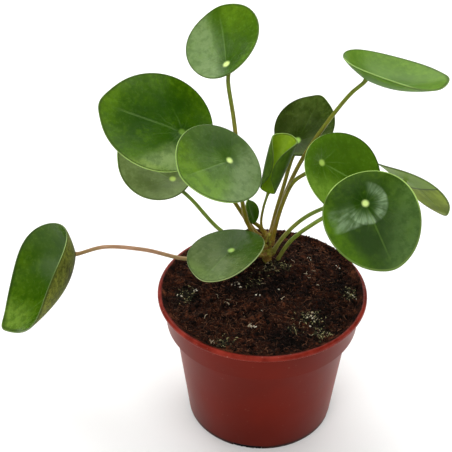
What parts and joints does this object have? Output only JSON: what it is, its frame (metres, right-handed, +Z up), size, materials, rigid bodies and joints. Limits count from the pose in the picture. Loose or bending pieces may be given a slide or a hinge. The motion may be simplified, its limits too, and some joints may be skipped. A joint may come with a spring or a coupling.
{
  "type": "potted pilea plant",
  "caption": "Young pilea house plant: round, slightly cupped leaves on long arching stalks from one short stem, in a thin terracotta-coloured nursery pot filled with dark peat.",
  "frame": {"origin": "centre of the pot's foot, on the surface that it stands on", "axes": "+Z up, -Y towards the front that the picture shows, +X to the picture's right"},
  "size_m": [0.2602, 0.131, 0.2392],
  "materials": {
    "pot_plastic": "satin",
    "peat": "matte",
    "stem": "matte",
    "petiole": "satin",
    "leaf": "satin"
  },
  "bodies": {
    "root": {"pot": "pot_plastic", "soil": "peat", "crown": "stem", "petiole_top": "petiole", "blade_top": "leaf", "petiole_upper_left": "petiole", "blade_upper_left": "leaf", "petiole_front_left": "petiole", "blade_front_left": "leaf", "petiole_lower_left": "petiole", "blade_lower_left": "leaf", "petiole_low_front": "petiole", "blade_low_front": "leaf", "petiole_far_left": "petiole", "blade_far_left": "leaf", "petiole_back": "petiole", "blade_back": "leaf", "petiole_folded": "petiole", "blade_folded": "leaf", "petiole_upper_right": "petiole", "blade_upper_right": "leaf", "petiole_right": "petiole", "blade_right": "leaf", "petiole_front_right": "petiole", "blade_front_right": "leaf", "petiole_drooping": "petiole", "blade_drooping": "leaf", "petiole_young": "petiole", "blade_young": "leaf"}
  },
  "joints": []
}
